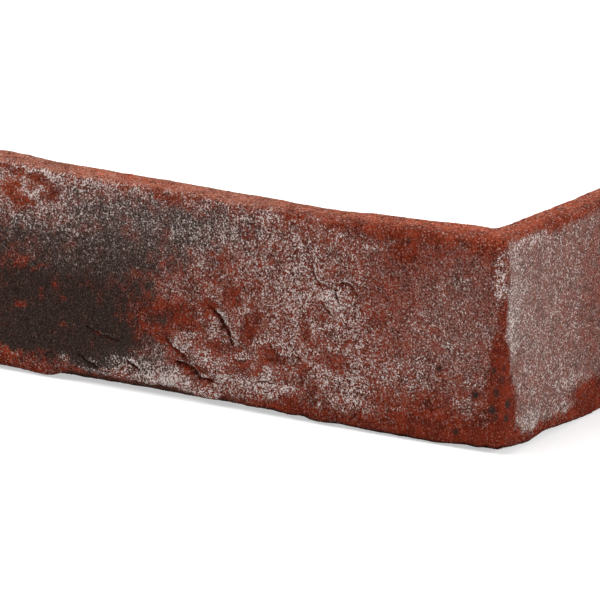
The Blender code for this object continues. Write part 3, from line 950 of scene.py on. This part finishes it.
# %% Colours, as linear values
DEEP_RED = (0.055, 0.006, 0.002, 1)
WARM_RED = (0.232, 0.029, 0.01, 1)
BARE_RED = (0.14, 0.0165, 0.006, 1)
DUSTY_RED = (0.48, 0.18, 0.118, 1)
DUSTY_DEEP = (0.11, 0.02, 0.009, 1)
SCORCHED = (0.36, 0.066, 0.026, 1)
SCORCHED_DEEP = (0.12, 0.017, 0.006, 1)
BED_ORANGE = (0.54, 0.115, 0.055, 1)
BED_SPECK = (0.64, 0.42, 0.35, 1)
CHARCOAL = (0.013, 0.0085, 0.0065, 1)
CHARCOAL_PALE = (0.036, 0.026, 0.022, 1)
CHARCOAL_WASH = (0.2, 0.15, 0.135, 1)
LIME_WHITE = (0.72, 0.64, 0.605, 1)
LIME_GREY = (0.58, 0.5, 0.475, 1)
LIME_DUST = (0.3, 0.195, 0.17, 1)
LIME_WASH = (0.19, 0.095, 0.075, 1)
LIME_FILM = (0.215, 0.163, 0.148, 1)
# SHADE is painted shade: the colour towards which gaps, cracks, air holes and the downturned foot are
# darkened.
SHADE = (0.015, 0.004, 0.0025, 1)
SLAG_GREY = (0.018, 0.0175, 0.015, 1)


# %% Noise (size in mm, detail, roughness, seed), soft steps, mixes and the rule of the lime
SPECKS, CLUMPS = (0.56, 2.0, 0.7, 3.0), (1.9, 2.0, 0.6, 4.0)
CLUMPING, SPECK_CONTRAST, LEAST_CONTRAST = 1.9, 6.0, 1.2


def grains(t, where, size_mm, detail, roughness, seed):
    """Noise whose features are about a size in mm."""
    scale = 1 / MM / size_mm
    given = {"Vector": where, "W": seed, "Scale": scale, "Detail": detail, "Roughness": roughness}
    return t.add("ShaderNodeTexNoise", noise_dimensions="4D", into=given).outputs["Fac"]


def step_up(t, *limits):
    """A soft step of a value between two limits, from 0 to 1 or to two further limits."""
    return t.add("ShaderNodeMapRange", *limits, interpolation_type="SMOOTHSTEP").outputs[0]


def mixed(t, share, first, second):
    """A mix of two colours."""
    given = {0: share, 6: first, 7: second}
    return t.add("ShaderNodeMix", data_type="RGBA", into=given).outputs[2]


def lime_amount(t, where):
    """How much lime lies at a point: over one half it is a white speck. Also the speck noise itself."""
    share = t.attribute("lime")
    specks = grains(t, where, *SPECKS)
    clumps = grains(t, where, *CLUMPS)
    clumped = t.times(t.minus(clumps, 0.5), t.times(share, CLUMPING))
    contrast = t.times_plus(share, SPECK_CONTRAST, LEAST_CONTRAST)
    speckle = t.times(t.minus(specks, 0.5), contrast)
    return t.plus(t.plus(share, clumped), speckle), specks


# %% The concrete itself: where each noise turns a colour, and how strongly an attribute counts
RED_STEP, HOT_STEP, DUSTY_STEP = (0.34, 0.68), (0.38, 0.62), (0.42, 0.585)
BARE_SHARE, ORANGE_GAIN, BED_BODY = 0.55, 2.4, 0.5
CHAR_STEP, CHAR_FLECK_STEP = (0.08, 0.82, 0.0, 0.97), (0.36, 0.66)


def concrete_colour(t, body, flecks, bent_flecks):
    """Red with deeper flecks, bare, scorched or dusty by its attributes."""
    bed_grain = t.times_plus(t.minus(body, 0.5), BED_BODY, flecks)
    red = mixed(t, step_up(t, bent_flecks, *RED_STEP), DEEP_RED, WARM_RED)
    red = mixed(t, t.times(t.attribute("bare"), BARE_SHARE), red, BARE_RED)
    hot = mixed(t, step_up(t, bed_grain, *HOT_STEP), SCORCHED_DEEP, SCORCHED)
    red = mixed(t, t.attribute("scorched"), red, hot)
    orange = t.times(t.attribute("scorched"), ORANGE_GAIN)
    bed_red = mixed(t, orange, DUSTY_RED, BED_ORANGE)
    dusty = mixed(t, step_up(t, bed_grain, *DUSTY_STEP), DUSTY_DEEP, bed_red)
    return mixed(t, t.attribute("dusty"), red, dusty)


def burnt_colour(t, red, flecks, bent_flecks):
    """The red under charcoal, and how much charcoal there is."""
    char_noise = t.times(t.minus(bent_flecks, 0.5), -1.0)
    char_share = step_up(t, t.plus(t.attribute("burnt"), char_noise), *CHAR_STEP)
    char = mixed(t, step_up(t, flecks, *CHAR_FLECK_STEP), CHARCOAL, CHARCOAL_PALE)
    return mixed(t, char_share, red, char), char_share


# %% Wash, film, white specks and strays
WASH_STEP, PALE_STEP, SPECK_STEP = (0.05, 0.6, 0.0, 0.45), (0.55, 1.1), (0.46, 0.66, 0.0, 0.95)
BURNT_GREY, FILM_CONTRAST, FILM_STEP = 0.65, 1.6, (0.0, 1.0, 0.0, 0.9)
STRAY_STEP, BARE_STRAYS, BURNT_STRAYS = (0.59, 0.65, 0.0, 0.8), 0.78, 0.9


def limed_colour(t, base, char_share, amount, flecks, strays):
    """A thin wash round the specks, a grey film, the specks of lime and stray specks everywhere."""
    pale = mixed(t, step_up(t, amount, *PALE_STEP), LIME_DUST, LIME_WHITE)
    pale = mixed(t, t.times(t.attribute("burnt"), BURNT_GREY), pale, LIME_GREY)
    washed = mixed(t, char_share, LIME_WASH, CHARCOAL_WASH)
    limed = mixed(t, step_up(t, amount, *WASH_STEP), base, washed)
    film = t.times_plus(t.minus(flecks, 0.5), FILM_CONTRAST, t.attribute("film"))
    limed = mixed(t, step_up(t, film, *FILM_STEP), limed, LIME_FILM)
    limed = mixed(t, step_up(t, amount, *SPECK_STEP), limed, pale)
    dustier = t.times_plus(t.attribute("bare"), -BARE_STRAYS, 1.0)
    unburnt = t.times(t.times_plus(char_share, -BURNT_STRAYS, 1.0), dustier)
    stray = t.times(step_up(t, strays, *STRAY_STEP), unburnt)
    on_bare_bed = t.most(t.attribute("dusty"), t.attribute("scorched"))
    return mixed(t, stray, limed, mixed(t, on_bare_bed, LIME_DUST, BED_SPECK))


# %% Air holes of the back, and the painted shade in the gaps, the cracks, the holes and on the foot
PORE_GAP, PORE_SWAY, PORE_SHRINK, PORE_EDGE = 6.0, 0.6, 0.3, 0.05
GAP_SHADE_STEP, GAP_SHADE_DEPTH, SMOOTH_GAP_SHADE, LIME_GAP_SHADE = (0.46, 0.3), 0.43, 0.22, 0.75
# Painted shade: how far the cracks and the downturned foot are darkened towards SHADE.
PAINTED_SHADE_BY_MASK = {"crack": 0.6, "under": 0.96}
# Painted shade in the air holes: how far they are darkened towards SHADE.
PORE_PAINTED_SHADE = 0.8


def air_holes(t, where):
    """Round holes of many sizes on the cast back, one at most to each cell."""
    given = {"Vector": where, "Scale": 1 / MM / PORE_GAP}
    cells = t.add("ShaderNodeTexVoronoi", into=given).outputs
    edge = t.times_plus(cells["Color"], PORE_SWAY, -PORE_SHRINK)
    pores = step_up(t, cells["Distance"], edge, t.minus(edge, PORE_EDGE))
    return t.times(pores, t.attribute("back"))


def shaded_colour(t, limed, flecks, pores):
    """The colour with painted shade in its gaps, cracks, holes and downturned foot, and with the slag
    spots.
    """
    smoother = t.most(t.attribute("scorched"), t.attribute("bare"))
    gap_shade = t.times_plus(smoother, -SMOOTH_GAP_SHADE, GAP_SHADE_DEPTH)
    gap_shade = t.times_plus(t.attribute("lime"), LIME_GAP_SHADE, gap_shade)
    # Painted shade: the colour is darkened towards SHADE in the gaps between the specks, more where there
    # is lime, then in the cracks, on the downturned foot and in the air holes.
    painted_shade = t.times(step_up(t, flecks, *GAP_SHADE_STEP), gap_shade)
    for name, darkness in PAINTED_SHADE_BY_MASK.items():
        painted_shade = t.most(painted_shade, t.times(t.attribute(name), darkness))
    painted_shade = t.most(painted_shade, t.times(pores, PORE_PAINTED_SHADE))
    return mixed(t, t.attribute("slag"), mixed(t, painted_shade, limed, SHADE), SLAG_GREY)


# %% Pigmented concrete with burnt clouds and lime
BODY, FLECKS, STRAYS = (3.2, 4.0, 0.6, 1.0), (0.5, 2.0, 0.7, 2.0), (0.6, 1.0, 0.5, 5.0)
BODY_BEND = 1.1
ROUGH_STEP, SHINE, BUMP_STRENGTH = (0.3, 0.7, 0.8, 0.95), 0.04, 0.9
SPECK_RISE, FLECK_RISE, BODY_RISE, PORE_RISE = 0.55, 0.45, 0.6, -0.7


def new_finish(name):
    """A material, its tree and the place on the stone that its noises read."""
    material = bpy.data.materials.new(name)
    material.use_nodes = True
    t = Tree(material.node_tree)
    return material, t, t.add("ShaderNodeTexCoord").outputs["Object"]


def give_finish(t, colour, roughness, shine, **bump):
    """Hands colour, roughness, shine and a bump to the shader of a material."""
    shader = t.nodes["Principled BSDF"]
    t.put(shader.inputs["Base Color"], colour)
    t.put(shader.inputs["Roughness"], roughness)
    t.put(shader.inputs["Specular IOR Level"], shine)
    t.put(shader.inputs["Normal"], t.add("ShaderNodeBump", into=bump).outputs[0])


concrete, paint, where = new_finish("pigmented_concrete_limed")
amount, specks = lime_amount(paint, where)
body, flecks, strays = (grains(paint, where, *kind) for kind in (BODY, FLECKS, STRAYS))
bent_flecks = paint.times_plus(paint.minus(flecks, 0.5), BODY_BEND, body)
pores = air_holes(paint, where)
red = concrete_colour(paint, body, flecks, bent_flecks)
base, char_share = burnt_colour(paint, red, flecks, bent_flecks)
limed = limed_colour(paint, base, char_share, amount, flecks, strays)
colour = shaded_colour(paint, limed, flecks, pores)
rise = paint.times(specks, SPECK_RISE)
for part, height_mm in ((flecks, FLECK_RISE), (body, BODY_RISE), (pores, PORE_RISE)):
    rise = paint.times_plus(part, height_mm, rise)
roughness = step_up(paint, body, *ROUGH_STEP)
give_finish(paint, colour, roughness, SHINE, Strength=BUMP_STRENGTH, Distance=MM, Height=rise)
stone.data.materials.clear()
stone.data.materials.append(concrete)
print("finish:", concrete.name, "with", len(concrete.node_tree.nodes), "nodes")

# %% [markdown]
# Up close the lime and the sand are real grains, a third of a millimetre across, and they roughen
# every arris. So many of them are the work of Geometry Nodes: points are strewn over the stone
# with a fixed seed, each takes an eight-sided grain of its own size, turn and squash, and the
# instances are made real. The lime grains ask the same rule as the finish, so a grain sits just
# where a white speck is. Each grain keeps a random tone and the burnt attribute for its colour.

# %% Grains strewn over the stone
GRAIN_SEED = 11
LIME_GRAINS = {"Grains per square metre": 14e6, "Smallest radius": 0.1 * MM, "Largest radius": 0.2 * MM}
SAND_GRAINS = {"Grains per square metre": 0.46e6, "Smallest radius": 0.11 * MM, "Largest radius": 0.26 * MM}
GRAIN_SEGMENTS, GRAIN_RINGS = 4, 2
TILT, FULL_TURN = 0.6, 6.28
NARROWEST, WIDEST, FLATTEST = 0.8, 1.3, 0.6
LIME_GRAIN_FROM = 0.66


def grain_tree(name, thinned, chosen):
    """A tree that strews grains over its surface, thinned by one rule and chosen by another."""
    t = ShapeTree(name)
    surface = t.named("Surface", "NodeSocketGeometry")
    density, smallest, largest = map(t.named, LIME_GRAINS)
    seed = t.named("Seed", "NodeSocketInt", GRAIN_SEED)
    finish = t.named("Finish", "NodeSocketMaterial")
    strewing = {"Mesh": surface, "Density": t.times(density, thinned(t)), "Seed": seed}
    strewn = t.add("GeometryNodeDistributePointsOnFaces", into=strewing).outputs
    tone = {"Name": "tone", "Value": t.random(0.0, 1.0, seed)}
    toned = t.add("GeometryNodeStoreNamedAttribute", strewn["Points"], data_type="FLOAT", into=tone)
    grain = t.add("GeometryNodeMeshUVSphere", GRAIN_SEGMENTS, GRAIN_RINGS, 1.0)
    tilts = [t.random(-TILT, TILT, 3), t.random(-TILT, TILT, 4)]
    turn = t.triple(*tilts, t.random(0.0, FULL_TURN, 5))
    turned = t.add("FunctionNodeRotateRotation", strewn["Rotation"], turn, rotation_space="LOCAL")
    widths = [t.random(NARROWEST, WIDEST, 7), t.random(NARROWEST, WIDEST, 8)]
    squash = t.triple(*widths, t.random(FLATTEST, 1.0, 9))
    placing = {
        "Selection": chosen(t),
        "Instance": grain.outputs["Mesh"],
        "Rotation": turned.outputs[0],
        "Scale": t.scaled(squash, t.random(smallest, largest, 6)),
    }
    placed = t.add("GeometryNodeInstanceOnPoints", toned.outputs[0], into=placing)
    t.give(placed.outputs[0], finish)
    return t.tree


def by_lime(t):
    return t.attribute("lime")


def on_lime(t):
    """Only where the finish has a white speck."""
    amount, _ = lime_amount(t, t.position())
    return t.math("GREATER_THAN", amount, LIME_GRAIN_FROM)


def off_the_back(t):
    """Everywhere but on the cast back, which is smooth."""
    return t.math("LESS_THAN", t.attribute("back"), 0.5)


def always(t):
    return True


# %% Finishes of the grains
BURNT_SHARE = 0.75
GRAIN_NOISE = (0.12, 1.0, 0.5, 8.0)
GRAIN_BUMP, GRAIN_SHINE = 0.05, 0.06
GRAIN_ROUGH_STEP = (0.3, 0.7, 0.75, 0.95)


def grain_finish(name, darkest, lightest, burnt_tone):
    """A colour between two tones by the grain's own random number, greyer where the stone is burnt."""
    material, t, where = new_finish(name)
    rough_noise = grains(t, where, *GRAIN_NOISE)
    colour = mixed(t, t.attribute("tone"), darkest, lightest)
    colour = mixed(t, t.times(t.attribute("burnt"), BURNT_SHARE), colour, burnt_tone)
    roughness = step_up(t, rough_noise, *GRAIN_ROUGH_STEP)
    give_finish(t, colour, roughness, GRAIN_SHINE, Distance=GRAIN_BUMP * MM, Height=rough_noise)
    return material


lime_paint = grain_finish("lime_grains", LIME_GREY, LIME_WHITE, LIME_GREY)
sand_paint = grain_finish("sand_grains", DEEP_RED, DUSTY_RED, CHARCOAL_PALE)
grain_pieces = []
for name, thinned, chosen, sizes, paint_of in (
    ("lime_grains", by_lime, on_lime, LIME_GRAINS, lime_paint),
    ("sand_grains", off_the_back, always, SAND_GRAINS, sand_paint),
):
    tree = grain_tree(name, thinned, chosen)
    piece = bake_tree(name, tree, stone.data, {**sizes, "Finish": paint_of})
    grain_pieces.append(piece)
    print(name + ":", len(piece.data.vertices) // 6, "grains,", len(piece.data.polygons), "faces")

# %% Hand over
for piece in (stone, *grain_pieces):
    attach(piece, "root")
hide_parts("corner_stone")
